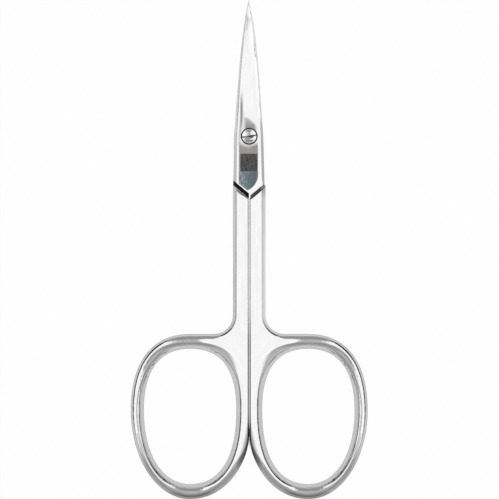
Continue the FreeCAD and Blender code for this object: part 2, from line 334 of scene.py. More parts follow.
def tent_end(tree, at):
    """0 on the side panels and 1 on the front and the back of the tent."""
    slant = blend_values(tree, at["to_back"], *PANEL_SLANTS)
    beyond = calc(tree, "ABSOLUTE", at["along"])
    return fade(tree, minus(tree, beyond, times(tree, at["aside"], slant)), *PANEL_ENDS)


def wall_light(tree, at, end):
    """The bright panels with the slot between them, and the dimmer folds of the ends."""
    back = fade(tree, at["up"], *BACK_HEIGHTS, *BACK_LIGHTS)
    front = fade(tree, at["aside"], *FRONT_WIDTHS, *FRONT_LIGHTS)
    ends = blend_values(tree, at["to_back"], front, back)
    ends = blend_values(tree, fade(tree, at["up"], *SLOT_HEIGHTS), ends, SLOT_LIGHT)
    height = place(tree, times(tree, at["up"], FOLD_SPACING), 0.0, 0.0)
    folds = fade(tree, noise(tree, height, 1.0, 1.0), *FOLD_LIMITS, *FOLDS)
    overhead = blend_values(tree, fade(tree, at["aside"], *SLOT_HALF_WIDTHS), SLOT_LIGHT, PANEL_LIGHT)
    return blend_values(tree, end, overhead, times(tree, ends, folds))


print("tent: panels", PANEL_LIGHT, "slot", SLOT_LIGHT, "back", BACK_LIGHTS, "front", FRONT_LIGHTS)

# %% [markdown]
# The seam and the two back posts are laid over the walls, and the sum becomes the strength of the
# world's light. A post is where a direction leads to the back at a certain steepness.

# %% Seam, posts and world
SEAM_FOOT = 0.85
SEAM_LIGHTS_SIDE = (0.04, 0.6)
SEAM_LIGHT_BACK = 0.4
SEAM_LIGHTS_FRONT = (0.4, 0.66)
SEAM_SIDE_TURN = (0.02, -0.3)
SEAM_FRONT_WIDTHS = (0.15, 0.45)
FOOT_HEIGHTS = (0.03, 0.26)
SEAM_HEIGHTS = (0.42, 0.6)
BACK_TURN = (-0.12, 0.12)
LEAST_ASIDE = 0.01
POST_LIGHT = 0.03
POSTS = (("steepness", 0.45, 0.8), ("steepness", 2.0, 1.5), ("up", 0.05, 0.15), ("up", 0.65, 0.5))


def seam_light(tree, at, end):
    side = fade(tree, at["along"], *SEAM_SIDE_TURN, *SEAM_LIGHTS_SIDE)
    front = fade(tree, at["aside"], *SEAM_FRONT_WIDTHS, *SEAM_LIGHTS_FRONT)
    seam = blend_values(tree, end, side, blend_values(tree, at["to_back"], front, SEAM_LIGHT_BACK))
    return fade(tree, at["up"], *FOOT_HEIGHTS, SEAM_FOOT, seam)


def tent_light(tree, direction):
    """Strength of the tent in a direction."""
    across, along, up = split(tree, direction)
    aside = calc(tree, "ABSOLUTE", across)
    at = {
        "aside": aside, "along": along, "up": up, "to_back": fade(tree, along, *BACK_TURN),
        "steepness": calc(tree, "DIVIDE", along, larger(tree, aside, LEAST_ASIDE))}
    end = tent_end(tree, at)
    above_seam = fade(tree, up, *SEAM_HEIGHTS)
    light = blend_values(tree, above_seam, seam_light(tree, at, end), wall_light(tree, at, end))
    return blend_values(tree, where(tree, at, POSTS), light, POST_LIGHT)


world = bpy.data.worlds.new("tent")
bpy.context.scene.world = world
world.use_nodes = True
world_tree = world.node_tree
world_tree.nodes.clear()
background = add_node(world_tree, "ShaderNodeBackground")
background.inputs["Color"].default_value = grey(1)
direction = add_node(world_tree, "ShaderNodeTexCoord").outputs["Generated"]
plug(world_tree, background.inputs["Strength"], tent_light(world_tree, direction))
world_out = add_node(world_tree, "ShaderNodeOutputWorld")
plug(world_tree, world_out.inputs["Surface"], background.outputs["Background"])
print("tent has", len(world_tree.nodes), "nodes; posts", POST_LIGHT, "foot of the seam", SEAM_FOOT)

# %% [markdown]
# ## Shared effects
#
# Each effect is a node group that takes a place in millimetres from the screw and gives back
# masks and values. The first one lays a polishing grain along the work: straight up the blades and
# shanks, and round the bows, where the belt follows the ring.

# %% Node group helper
VECTOR = "NodeSocketVector"
FLOAT = "NodeSocketFloat"


def new_group(name, inputs, outputs):
    group = bpy.data.node_groups.new(name, "ShaderNodeTree")
    for socket_name, kind in inputs:
        group.interface.new_socket(socket_name, in_out="INPUT", socket_type=kind)
    for socket_name in outputs:
        group.interface.new_socket(socket_name, in_out="OUTPUT", socket_type=FLOAT)
    entry = add_node(group, "NodeGroupInput")
    leave = add_node(group, "NodeGroupOutput")
    return group, entry, leave


def use_group(tree, group, **inputs):
    node = add_node(tree, "ShaderNodeGroup", node_tree=group)
    for name, value in inputs.items():
        plug(tree, node.inputs[name], value)
    return node.outputs


print("groups take", VECTOR, "and give", FLOAT)

# %% Polishing grain
RING_FLATNESS = 0.78
FINE = {"scale": 9.0, "detail": 3.0, "roughness": 0.7}
FINE_STRETCH = 0.03
FINE_RING_STRETCH = 0.3
BROAD_SCALE = 1.6
BROAD_STRETCH = 0.12
BOW_START = (-32.0, -37.0)


def make_grain_group():
    group, entry, leave = new_group("polishing_grain", [("Place", VECTOR)], ("Lines", "Broad", "Bow"))
    across, along, up = split(group, entry.outputs["Place"])
    aside = minus(group, calc(group, "ABSOLUTE", across), BOW_ASIDE)
    below = times(group, plus(group, along, BOW_BELOW), RING_FLATNESS)
    ring = length(group, aside, below)
    turn = calc(group, "ARCTAN2", below, aside)
    straight_lines = noise(group, place(group, across, times(group, along, FINE_STRETCH), up), **FINE)
    ring_lines = noise(group, place(group, ring, times(group, turn, FINE_RING_STRETCH), up), **FINE)
    straight_broad = noise(group, place(group, across, times(group, along, BROAD_STRETCH), up), BROAD_SCALE)
    ring_broad = noise(group, place(group, ring, turn, up), BROAD_SCALE)
    bow = fade(group, along, *BOW_START)
    plug(group, leave.inputs["Lines"], blend_values(group, bow, straight_lines, ring_lines))
    plug(group, leave.inputs["Broad"], blend_values(group, bow, straight_broad, ring_broad))
    plug(group, leave.inputs["Bow"], bow)
    return group


grain_group = make_grain_group()
print(grain_group.name, "has", len(grain_group.nodes), "nodes")

# %% [markdown]
# The second effect is what hands and use leave: soft smudges with a fingerprint's ridges in them,
# and a few hair-thin scratches. Both stay faint on polished steel.

# %% Hand marks and scratches
SMUDGES = {"scale": 0.22, "detail": 3.0, "roughness": 0.6}
SMUDGE_LIMITS = (0.52, 0.68)
RIDGES = {"Scale": 0.9, "Distortion": 6.0, "Detail": 2.0, "Detail Scale": 0.35}
SCRATCH_TURNS = ((0.35, 0.0), (-0.5, 7.0), (1.25, 3.0))
SCRATCH_STRETCH = (9.0, 0.22, 1.0)
SCRATCH_LIMITS = (0.74, 0.78)


def scratches_of(tree, spot):
    """Thin lines at a few angles, each from a noise that is stretched along the line."""
    scratches = 0.0
    for turn, offset in SCRATCH_TURNS:
        mapping = add_node(tree, "ShaderNodeMapping")
        plug(tree, mapping.inputs["Vector"], spot)
        mapping.inputs["Rotation"].default_value = (0, 0, turn)
        mapping.inputs["Location"].default_value = (offset, 0, 0)
        mapping.inputs["Scale"].default_value = SCRATCH_STRETCH
        line = fade(tree, noise(tree, mapping.outputs[0], 1.0, 1.0), *SCRATCH_LIMITS)
        scratches = larger(tree, line, scratches)
    return scratches


def make_wear_group():
    group, entry, leave = new_group("hand_marks", [("Place", VECTOR)], ("Smudge", "Ridges", "Scratches"))
    spot = entry.outputs["Place"]
    waves = add_node(group, "ShaderNodeTexWave", wave_type="RINGS", rings_direction="Z")
    plug(group, waves.inputs["Vector"], spot)
    for name, value in RIDGES.items():
        plug(group, waves.inputs[name], value)
    plug(group, leave.inputs["Smudge"], fade(group, noise(group, spot, **SMUDGES), *SMUDGE_LIMITS))
    plug(group, leave.inputs["Ridges"], waves.outputs["Fac"])
    plug(group, leave.inputs["Scratches"], scratches_of(group, spot))
    return group


wear_group = make_wear_group()
print(wear_group.name, "has", len(wear_group.nodes), "nodes")

# %% [markdown]
# The third effect is the plan of the lock. The face of the lock is lapped grey, not polished. Its
# upper end is a soft slanting edge where the blade's grinding begins, a dark field is etched
# across it, and the V below the field has a blue-grey oxide skin. The V's lower right is rounded.

# %% Face, field and shield
EDGE = 0.07
ARM_SLOPE = math.tan(math.radians(39.8))
FACE_LEFT = -1.9
FACE_RIGHT = 1.58
SHIELD_RADIUS = 3.2
SHIELD_START = -6.9
FIELD_TOP = -3.14
FIELD_LOW = -6.36
FIELD_SIDES = (-1.6, 1.48)
ROUNDED_SIDE = (-1.0, -0.5)
LEVEL = (("up", 1.3, 1.36), ("facing_up", 0.95, 0.985))
NEARLY_LEVEL = (("up", 1.1, 1.2), ("facing_up", 0.86, 0.92))
FACE_ENDS = (
    ("across", FACE_LEFT - EDGE, FACE_LEFT + 2 * EDGE), ("across", FACE_RIGHT + EDGE, FACE_RIGHT - EDGE),
    ("arm", -10.16, -10.01), ("along", -0.6, -1.9))
FIELD = (*between("across", *FIELD_SIDES, EDGE), *between("along", FIELD_LOW, FIELD_TOP, EDGE))
SHIELD = (("along", FIELD_LOW + EDGE, FIELD_LOW - EDGE),)


def places_on_part(tree, spot, facing_up):
    """A point's place by plain names. The arm's value is the same all along the V's left arm."""
    across, along, up = split(tree, spot)
    return {
        "spot": spot, "across": across, "along": along, "up": up, "facing_up": facing_up,
        "from_screw": distance(tree, across, along, (0, 0)),
        "arm": slanted(tree, across, along, ARM_SLOPE)}


def face_mask(tree, at):
    to_right = fade(tree, at["across"], *ROUNDED_SIDE)
    flat = blend_values(tree, to_right, where(tree, at, NEARLY_LEVEL), where(tree, at, LEVEL))
    from_corner = distance(tree, at["across"], at["along"], (FACE_RIGHT - SHIELD_RADIUS, SHIELD_START))
    corner = fade(tree, from_corner, SHIELD_RADIUS + EDGE, SHIELD_RADIUS - EDGE)
    corner = larger(tree, corner, fade(tree, at["along"], SHIELD_START - EDGE, SHIELD_START + EDGE))
    return times(tree, flat, corner, where(tree, at, FACE_ENDS))


print("field from", FIELD_LOW, "to", FIELD_TOP, "mm, the V's arms fall by", round(ARM_SLOPE, 3))

# %% [markdown]
# Above the screw a grey patch with a slanting upper edge is lapped like the face; its grey, darker
# towards the screw, is painted shade where the blade begins to curve. The steel round the screw's
# recess is paler, in a halo that is widest on the left. A painted dark line stands for the shade up
# the left of the blade, where its face was ground down from its back, with a soft painted shade on
# its right.

# %% Patch, halo and crease
GROUND = (("up", 0.7, 0.9), ("facing_up", 0.88, 0.93))
PATCH_TOP = ((-0.2, 3.35), (1.24, 2.0), 0.58)
PATCH = (
    ("across", -1.2, -0.5), ("across", 1.66, 0.8), ("along", 3.75, 3.1), ("along", 0.6, 1.0),
    ("from_screw", 1.5, 1.56))
HALO_TOP = ((-1.6, 0.8), (1.6, -0.4), 0.8)
HALO_TURN = (-0.6, 0.8)
HALO_RADII = (2.5, 2.1)
HALO_WHOLE = 1.6
HALO_START = (1.45, 1.55)
CREASE_BEND = (4.0, -1.4, -1.39, -1.8)
CREASE_LINE = (
    ("off_crease", 0.36, 0.06), ("along", 8.8, 5.2), ("along", -1.0, 4.4, 0.42, 1.0), ("along", -1.8, -1.2))
CREASE_SHADE = (
    ("past_crease", -0.05, 0.12), ("past_crease", 0.75, 0.1), ("along", 5.8, 3.2), ("along", 0.7, 1.7))
CREASE_SHADE_SHARE = 0.4


# Painted shade: a grey patch above the screw with a slanting upper edge.
def painted_patch_mask(tree, at):
    return times(tree, where(tree, at, GROUND), below_line(tree, at, *PATCH_TOP), where(tree, at, PATCH))


def halo_mask(tree, at):
    radius = fade(tree, at["across"], *HALO_TURN, *HALO_RADII)
    outer = fade(tree, at["from_screw"], radius, HALO_WHOLE)
    inner = fade(tree, at["from_screw"], *HALO_START)
    return times(tree, where(tree, at, LEVEL), outer, inner, below_line(tree, at, *HALO_TOP))


# Painted shade: a dark line up the left of the blade and a soft shade on its right.
def crease_shade_mask(tree, at):
    past_crease = minus(tree, at["across"], fade(tree, at["along"], *CREASE_BEND))
    at = {**at, "past_crease": past_crease, "off_crease": calc(tree, "ABSOLUTE", past_crease)}
    shade = times(tree, where(tree, at, CREASE_SHADE), CREASE_SHADE_SHARE)
    return times(tree, larger(tree, where(tree, at, CREASE_LINE), shade), where(tree, at, GROUND))


print("the halo reaches", HALO_RADII[0], "mm from the screw on the left,", HALO_RADII[1], "on the right")

# %% [markdown]
# The last marks are the notch on the V's right arm, painted dark as shade, a ragged painted shadow
# along the seam on its left arm, and the floor of the screw's recess. All nine masks then leave
# the group by their names.

# %% Notch, seam and recess
NOTCH_SLOPE = math.tan(math.radians(40))
NOTCH_BELOW = -11.25
NOTCH = (("from_notch", 0.46, 0.37), ("across", 0.16, 0.26), ("up", 0.4, 0.6))
SEAM_SLOPE = 0.71
SEAM_BELOW = -11.32
SEAM = (("past_seam", 0.08, 0.0), *between("across", -2.2, -0.2, 0.12), ("up", 0.3, 0.5))
RAGGED_NOISE = (4.0, 2.0)
RAGGED_FADE = (0.35, 0.6, 0.05, 0.16)
RECESS = (("from_screw", 1.56, 1.5), ("up", 0.2, 0.4))
LOCK_MASKS = ("Face", "Patch", "Field", "Shield", "Halo", "Crease", "Seam", "Notch", "Recess")


# Painted shade in the notch on the V's right arm.
def notch_shade_mask(tree, at):
    from_notch = apart(tree, slanted(tree, at["across"], at["along"], -NOTCH_SLOPE), NOTCH_BELOW)
    return where(tree, {**at, "from_notch": from_notch}, NOTCH)


# Painted shadow along the seam at the V's left arm, with a ragged edge.
def seam_shadow_mask(tree, at):
    from_seam = apart(tree, slanted(tree, at["across"], at["along"], SEAM_SLOPE), SEAM_BELOW)
    ragged = fade(tree, noise(tree, at["spot"], *RAGGED_NOISE), *RAGGED_FADE)
    return where(tree, {**at, "past_seam": minus(tree, from_seam, ragged)}, SEAM)


def make_lock_group():
    group, entry, leave = new_group("lock_plan", [("Place", VECTOR), ("Facing", FLOAT)], LOCK_MASKS)
    at = places_on_part(group, entry.outputs["Place"], entry.outputs["Facing"])
    face = face_mask(group, at)
    field = times(group, face, where(group, at, FIELD))
    shield = times(group, face, where(group, at, SHIELD))
    masks = (face, painted_patch_mask(group, at), field, shield, halo_mask(group, at), crease_shade_mask(group, at),
             seam_shadow_mask(group, at), notch_shade_mask(group, at), where(group, at, RECESS))
    for name, mask in zip(LOCK_MASKS, masks):
        plug(group, leave.inputs[name], mask)
    return group


lock_group = make_lock_group()
print(lock_group.name, "has", len(lock_group.nodes), "nodes and gives", ", ".join(LOCK_MASKS))

# %% [markdown]
# ## Steel of the halves
#
# Both halves share one material. Polished steel comes first: a mid grey metal with a low
# roughness, because the tent supplies most of the bright and dark lines. Every function from here
# on adds one finish or one painted light or shade to it. They all read the same small table of
# places: where a point is, which way its surface faces, and what the three shared effects say there.

# %% Steel values
STEEL = 0.66
STEEL_TINT = 0.62
STEEL_ROUGHNESS = 0.075
BUMP_HEIGHT = 0.02 * MM
SIDE_TURN = (-0.5, 0.5)
MIDDLE_TURN = (-0.1, 0.1)


def facing_away(tree, here):
    """Above 0 where a bow's surface faces away from the middle of its hole."""
    side = fade(tree, here["across"], *MIDDLE_TURN, -1.0, 1.0)
    outward = times(tree, here["facing_across"], side, minus(tree, here["aside"], BOW_ASIDE))
    return plus(tree, outward, times(tree, here["facing_along"], plus(tree, here["along"], BOW_BELOW)))


def places_on_half(tree):
    """Everything the finishes below need to know about a point, by plain names."""
    spot = millimetres(tree)
    facing = add_node(tree, "ShaderNodeTexCoord").outputs["Normal"]
    facing_across, facing_along, facing_up = split(tree, facing)
    here = places_on_part(tree, spot, facing_up)
    here.update(facing_across=facing_across, facing_along=facing_along)
    here["aside"] = calc(tree, "ABSOLUTE", here["across"])
    here["to_right"] = fade(tree, here["across"], *SIDE_TURN)
    here["facing_away"] = facing_away(tree, here)
    here["grain"] = use_group(tree, grain_group, Place=spot)
    here["wear"] = use_group(tree, wear_group, Place=spot)
    here["lock"] = use_group(tree, lock_group, Place=spot, Facing=facing_up)
    return here


def metal(name):
    """A new metal material, with its tree and its shader."""
    material = bpy.data.materials.new(name)
    material.use_nodes = True
    shader = material.node_tree.nodes["Principled BSDF"]
    shader.inputs["Metallic"].default_value = 1.0
    shader.inputs["Specular Tint"].default_value = grey(STEEL_TINT)
    return material, material.node_tree, shader


def dimmed(tree, mask, share):
    """The share where the mask is 1, and 1 where it is 0."""
    return blend_values(tree, mask, 1.0, share)


print("polished steel reflects", STEEL, "at a roughness of", STEEL_ROUGHNESS)

# %% [markdown]
# ### Shape of the polish
#
# The flats of shanks and blades are very slightly crowned in a hand-finished piece, so the normal
# is leant a few degrees away from the slit, by an amount that tapers off into the bows. The blades'
# faces are ground hollow along the bend, which turns their normals up again, and the last two
# millimetres of the points and the bevel at the cutting edge are honed nearly flat. The slope round
# the shield is buffed round, so it keeps only a little of its fall towards the bows.

# %% Lean of the crown
CROWN_LEAN = 0.08
BLADE_LEAN = 0.2
BLADE_START = (0.8, 3.2)
CROWN_SHARPNESS = 4.0
CROWN_ENDS = (9.4, 7.0)
ABOVE_ARM = (-10.8, -10.65)
ROOT_MIDDLE = -36.8
ROOT_HALF = 2.0
ROOT_TAPER = 2.0
ROOT_REACH = 0.9
ROOT_END = (-40.0, -38.5)


def crown_lean(tree, here):
    """How far the normal leans to the right, or to the left where it is below 0."""
    side = smaller(tree, times(tree, here["across"], CROWN_SHARPNESS), 1.0)
    side = larger(tree, side, -1.0)
    side = blend_values(tree, fade(tree, here["arm"], *ABOVE_ARM), side, 1.0)
    amount = fade(tree, here["along"], *BLADE_START, CROWN_LEAN, BLADE_LEAN)
    from_root = smaller(tree, apart(tree, here["along"], ROOT_MIDDLE), ROOT_HALF)
    tapered = minus(tree, times(tree, from_root, ROOT_TAPER), ROOT_REACH)
    tapered = times(tree, tapered, fade(tree, here["along"], *ROOT_END))
    return times(tree, side, fade(tree, plus(tree, here["aside"], tapered), *CROWN_ENDS), amount)


print("crown leans", round(math.degrees(math.atan(CROWN_LEAN)), 1), "degrees, blades",
      round(math.degrees(math.atan(BLADE_LEAN)), 1))

# %% Normals of the polish
HOLLOW = 0.021
HOLLOW_START = 3.0
HONED = (20.8, 22.4)
HONED_FLATNESS = 0.75
BEVEL = (("facing_up", 0.955, 0.94), ("facing_up", 0.8, 0.88), ("along", 2.0, 3.0), ("across", 0.3, 0.7))
BEVEL_FLATNESS = 0.55
SLOPE = (*between("along", -12.0, -5.5, 0.5), ("facing_up", 0.94, 0.955), ("up", 0.9, 1.0))
SLOPE_LOSS = 0.9


def leaning_normal(tree, here):
    """World normal with the lean of the crown, the hollow of the blades and the honing in it."""
    east, north, upward = split(tree, add_node(tree, "ShaderNodeNewGeometry").outputs["Normal"])
    hollow = times(tree, larger(tree, minus(tree, here["along"], HOLLOW_START), 0.0), HOLLOW)
    slope_kept = minus(tree, 1.0, times(tree, where(tree, here, SLOPE), SLOPE_LOSS))
    bevel_kept = fade(tree, where(tree, here, BEVEL), 0.0, 1.0, 1.0, 1.0 - BEVEL_FLATNESS)
    honed = fade(tree, here["along"], *HONED, 1.0, 1.0 - HONED_FLATNESS)
    lean = times(tree, crown_lean(tree, here), bevel_kept)
    east = plus(tree, times(tree, east, honed, bevel_kept), lean)
    north = times(tree, plus(tree, times(tree, north, slope_kept), hollow), honed)
    even = add_node(tree, "ShaderNodeVectorMath", operation="NORMALIZE")
    plug(tree, even.inputs[0], place(tree, east, north, upward))
    return even.outputs[0]


print("honing starts", HONED[0], "mm above the screw and takes", HONED_FLATNESS, "of the tilt")

# %% [markdown]
# ### Grain and flanks
#
# The grain is only a few percent of brightness. The flanks of shanks, lock and blades were left
# from the finer belt and are rougher than the tops, so they carry an even grey instead of lines.
# That grey is painted light and shade, with its own share for the left and the right flanks.
# How much they return was read off the photograph for the left and the right side.

# %% Grain and flanks
LINE_FADE = (0.3, 0.7, 0.965, 1.02)
BROAD_FADE = (0.35, 0.65, 0.97, 1.015)
SCRATCH_SHARE = 0.93
FLANK_FACING = (0.95, 0.87)
STEEP_FACING = (0.74, 0.64)
FLANK_LEFT = 1.08
FLANK_RIGHT = 1.3
LOCK_RIGHT = 0.86
LOCK_ALONG = between("along", -10.6, 3.0, 1.2)
BLADE_LEFT = (10.0, 16.0, 1.12, 0.92)
BLADE_LEFT_START = (-2.0, 4.0)
BLADE_RIGHT = 1.5
BLADE_RIGHT_START = (2.8, 4.6)
BOW_RIM_SHARE = 0.88


def grain_shade(tree, here):
    """Fine lengthwise lines, a broad unevenness and the hair-thin scratches."""
    lines = fade(tree, here["grain"]["Lines"], *LINE_FADE)
    broad = fade(tree, here["grain"]["Broad"], *BROAD_FADE)
    return times(tree, lines, broad, dimmed(tree, here["wear"]["Scratches"], SCRATCH_SHARE))


def flank_mask(tree, here):
    """1 on the steep sides of everything but the bows."""
    return times(tree, fade(tree, here["facing_up"], *FLANK_FACING), minus(tree, 1.0, here["grain"]["Bow"]))


def painted_flank_light(tree, here, flank):
    """Painted light and shade on the steep sides, as a share of the polished tops' colour."""
    along, to_right = here["along"], here["to_right"]
    right = blend_values(tree, where(tree, here, LOCK_ALONG), FLANK_RIGHT, LOCK_RIGHT)
    share = blend_values(tree, to_right, FLANK_LEFT, right)
    start = [fade(tree, along, *limits) for limits in (BLADE_LEFT_START, BLADE_RIGHT_START)]
    blade = blend_values(tree, to_right, fade(tree, along, *BLADE_LEFT), BLADE_RIGHT)
    share = blend_values(tree, blend_values(tree, to_right, *start), share, blade)
    share = blend_values(tree, here["grain"]["Bow"], share, BOW_RIM_SHARE)
    return dimmed(tree, larger(tree, fade(tree, here["facing_up"], *STEEP_FACING), flank), share)


print("flanks return", FLANK_LEFT, "on the left and", FLANK_RIGHT, "on the right of the shanks")

# %% [markdown]
# ### Bows and slit
#
# The bows carry painted dark reflection lines on their rounded surfaces: two on the inner slope,
# which cross to the outer slope lower down, and one along the outer crown, with a painted shade
# line beside the shanks, at the finger holes' edges.

# %% Lines on the bows
CREST_SHARE = 0.68
HIGH_CREST = (("facing_up", 0.9993, 0.998), ("facing_up", 0.988, 0.994))
LOW_CREST = (("facing_up", 0.972, 0.962), ("facing_up", 0.925, 0.94))
CREST_CHANGE = (-51.0, -56.0)
CREST_SIDE = (-0.05, -0.4)
CREST_START = (5.0, 7.0)
CROWN_SHARE = 0.5
CROWN_INSET = 1.26
CROWN = (("from_oval", 0.015, 0.004), ("share_aside", 0.3, 0.6), ("up", 0.0, 0.5))
BOW_HALVES = (8.37, 11.1, 13.4)
BESIDE_SHARE = 0.5
BESIDE_SHANK = (
    *between("up", 1.1, 1.3, 0.05), ("facing_up", 0.96, 0.9), ("facing_away", -0.3, -0.8),
    ("aside", 5.0, 4.0), *between("along", -59.0, -46.0, 2.0))


def painted_crown_line(tree, here):
    """1 on the painted dark reflection line along the outer crown of the bows, by its distance from an
    oval.
    """
    half_width, half_above, half_below = (half + CROWN_INSET for half in BOW_HALVES)
    above = plus(tree, here["along"], BOW_BELOW)
    above = calc(tree, "DIVIDE", above, fade(tree, above, *MIDDLE_TURN, half_below, half_above))
    aside = calc(tree, "DIVIDE", minus(tree, here["aside"], BOW_ASIDE), half_width)
    from_oval = apart(tree, length(tree, aside, above), 1.0)
    return where(tree, {**here, "from_oval": from_oval, "share_aside": aside}, CROWN)


def painted_crest_lines(tree, here):
    """1 on two painted dark reflection lines on the inner slope of the bow, which cross to the outer one
    below.
    """
    side = times(tree, here["facing_away"], fade(tree, here["along"], *CREST_CHANGE, 1.0, -1.0))
    lines = larger(tree, where(tree, here, HIGH_CREST), where(tree, here, LOW_CREST))
    start = fade(tree, here["aside"], *CREST_START)
    return times(tree, lines, fade(tree, side, *CREST_SIDE), here["grain"]["Bow"], start)


def painted_bow_lines(tree, here):
    # Painted dark reflection lines on the bows, and a painted shade line beside the shanks.
    crest = dimmed(tree, painted_crest_lines(tree, here), CREST_SHARE)
    crown = dimmed(tree, painted_crown_line(tree, here), CROWN_SHARE)
    return times(tree, crest, crown, dimmed(tree, where(tree, here, BESIDE_SHANK), BESIDE_SHARE))


print("crest lines return", CREST_SHARE, "of the light, the crown line", CROWN_SHARE)

# %% [markdown]
# Some places are darkened with painted shade: the lower ends of the bows, the low part of their
# outer flanks and the bevels that line the slit. The ground inner sides of the blades are darker
# too, partly for their ground finish and partly as painted shade.

# %% Dim places
BOW_END_SHARE = 0.72
BOW_END = (("along", -64.0, -64.5), ("facing_along", -0.1, -0.5))
BOW_LOW_SHARE = 0.68
BOW_LOW = (("facing_away", 0.05, 0.6), ("along", -56.0, -60.5), ("facing_up", 0.98, 0.88))
SLIT_SHARE = 0.64
IN_SLIT = (("aside", 0.5, 0.3), ("facing_up", 0.985, 0.93), ("along", -30.0, -38.0))
INNER_SHARE = 0.74
INNER = (("tilt", 0.08, 0.04), ("along", 1.2, 2.4), ("facing_up", 0.88, 0.92))
INNER_HEIGHTS = (0.9, 0.5)
INNER_ALONG = (6.0, 7.0)


def inner_side(tree, here):
    """1 on the side of a blade that slides on the other blade. It has no tilt to left or right."""
    here = {**here, "tilt": calc(tree, "ABSOLUTE", here["facing_across"])}
    low = larger(tree, fade(tree, here["up"], *INNER_HEIGHTS), fade(tree, here["along"], *INNER_ALONG))
    return times(tree, where(tree, here, INNER), low)


def painted_shade_places(tree, here):
    # Painted shade: the bow ends, the inner sides of the blades, the low bow flanks and the slit's bevels.
    ends = dimmed(tree, where(tree, here, BOW_END), BOW_END_SHARE)
    inner = dimmed(tree, inner_side(tree, here), INNER_SHARE)
    low = dimmed(tree, where(tree, here, BOW_LOW), BOW_LOW_SHARE)
    return times(tree, ends, inner, low, dimmed(tree, where(tree, here, IN_SLIT), SLIT_SHARE))


print("bow ends return", BOW_END_SHARE, "their low flanks", BOW_LOW_SHARE, "and the slit", SLIT_SHARE)

# %% [markdown]
# ### Lapped face, shield and etched field
#
# Lapping leaves short lengthwise tracks on the face and on the patch above the screw. The shield
# below the field has a skin of blue-grey oxide, streaked along the part and paler to the left, and
# a light lip under the field. The field itself is etched: pitted, combed lengthwise and bare.

# %% Shield and field
SHIELD_DARK = (0.10, 0.135, 0.15, 1)
SHIELD_PALE = (0.29, 0.325, 0.34, 1)
STREAK_STRETCH = 0.2
STREAKS = {"scale": 5.0, "detail": 3.0, "roughness": 0.65}
STREAK_FADE = (0.36, 0.64, 0.1, 1.35)
PALER = (("across", 0.5, -1.7, 0.12, 1.0), ("along", -6.6, -9.0, 0.75, 1.0))
LIP_MIDDLE = FIELD_LOW - 0.1
LIP = (("from_lip", 0.12, 0.04), ("across", 0.6, -0.2, 0.35, 1.0))
LIP_SHARE = 0.6
LIP_GREY = 0.3
FIELD_GREY = (0.088, 0.086, 0.082, 1)
PITS = {"scale": 7.0, "detail": 3.0, "roughness": 0.7}
PIT_FADE = (0.3, 0.7, 0.55, 1.5)
COMB_STRETCH = 0.12
COMB = {"scale": 4.5, "detail": 3.0, "roughness": 0.7}
COMB_FADE = (0.35, 0.65, 0.65, 1.5)


def drawn_out(tree, here, stretch, settings):
    """Noise that is drawn out along the part."""
    spot = place(tree, here["across"], times(tree, here["along"], stretch), here["up"])
    return noise(tree, spot, **settings)


def shield_colour(tree, here):
    streaks = fade(tree, drawn_out(tree, here, STREAK_STRETCH, STREAKS), *STREAK_FADE)
    paler = times(tree, streaks, where(tree, here, PALER))
    shield = blend_colours(tree, paler, SHIELD_DARK, SHIELD_PALE)
    lip = where(tree, {**here, "from_lip": apart(tree, here["along"], LIP_MIDDLE)}, LIP)
    return blend_colours(tree, times(tree, lip, LIP_SHARE), shield, grey(LIP_GREY))


def field_colour(tree, here):
    pits = fade(tree, noise(tree, here["spot"], **PITS), *PIT_FADE)
    combed = fade(tree, drawn_out(tree, here, COMB_STRETCH, COMB), *COMB_FADE)
    return blend_colours(tree, 1.0, FIELD_GREY, times(tree, pits, combed), "MULTIPLY")


print("shield from", SHIELD_DARK[:3], "to", SHIELD_PALE[:3], "and field", FIELD_GREY[:3])

# %% Colours of the lock
FACE_GREY = (0.285, 0.288, 0.285, 1)
PATCH_DARK = (0.275, 0.29, 0.288, 1)
PATCH_GREY = (0.40, 0.415, 0.41, 1)
PATCH_CHANGE = (1.7, 3.3)
TRACK_STRETCH = 0.25
TRACKS = {"scale": 6.0, "detail": 4.0, "roughness": 0.7}
TRACK_FADE = (0.3, 0.7, 0.84, 1.16)
LINE_COLOURS = (("Halo", 0.8, 0.6), ("Crease", 0.95, 0.16), ("Seam", 0.75, 0.07))
NOTCH_SHADE_GREYS = (0.11, 0.3)
NOTCH_CHANGE = (1.95, 2.3)


def lock_colours(tree, here, colour, tracks):
    """Lays the lock's finishes and its painted shade over the polished steel, from the widest to the
    smallest.
    """
    lock = here["lock"]
    patch = blend_colours(tree, fade(tree, here["along"], *PATCH_CHANGE), PATCH_DARK, PATCH_GREY)
    for name, lapped in (("Face", FACE_GREY), ("Patch", patch)):
        lapped = blend_colours(tree, 1.0, lapped, tracks, "MULTIPLY")
        colour = blend_colours(tree, lock[name], colour, lapped)
    colour = blend_colours(tree, lock["Shield"], colour, shield_colour(tree, here))
    colour = blend_colours(tree, lock["Field"], colour, field_colour(tree, here))
    # The halo is paler; the crease and the seam are painted dark as shade and shadow.
    for name, share, shade in LINE_COLOURS:
        colour = blend_colours(tree, times(tree, lock[name], share), colour, grey(shade))
    # The notch is painted dark as shade, lighter towards its right end.
    notch_left, notch_right = (grey(shade) for shade in NOTCH_SHADE_GREYS)
    notch = blend_colours(tree, fade(tree, here["across"], *NOTCH_CHANGE), notch_left, notch_right)
    return blend_colours(tree, lock["Notch"], colour, notch)


print("lapped face", FACE_GREY[:3], "patch from", PATCH_DARK[:3], "to", PATCH_GREY[:3])

# %% [markdown]
# ### Painted shade in the fork and the lock
#
# Two places are painted dark as shade. In the fork, where the slit opens between the bows, a wedge
# of painted shade lies on each side. Inside the lock, the lap between the halves is ground steel
# with swirls round the screw, and painted shadow lies where it shows in the V and on the floor of
# the screw's recess.

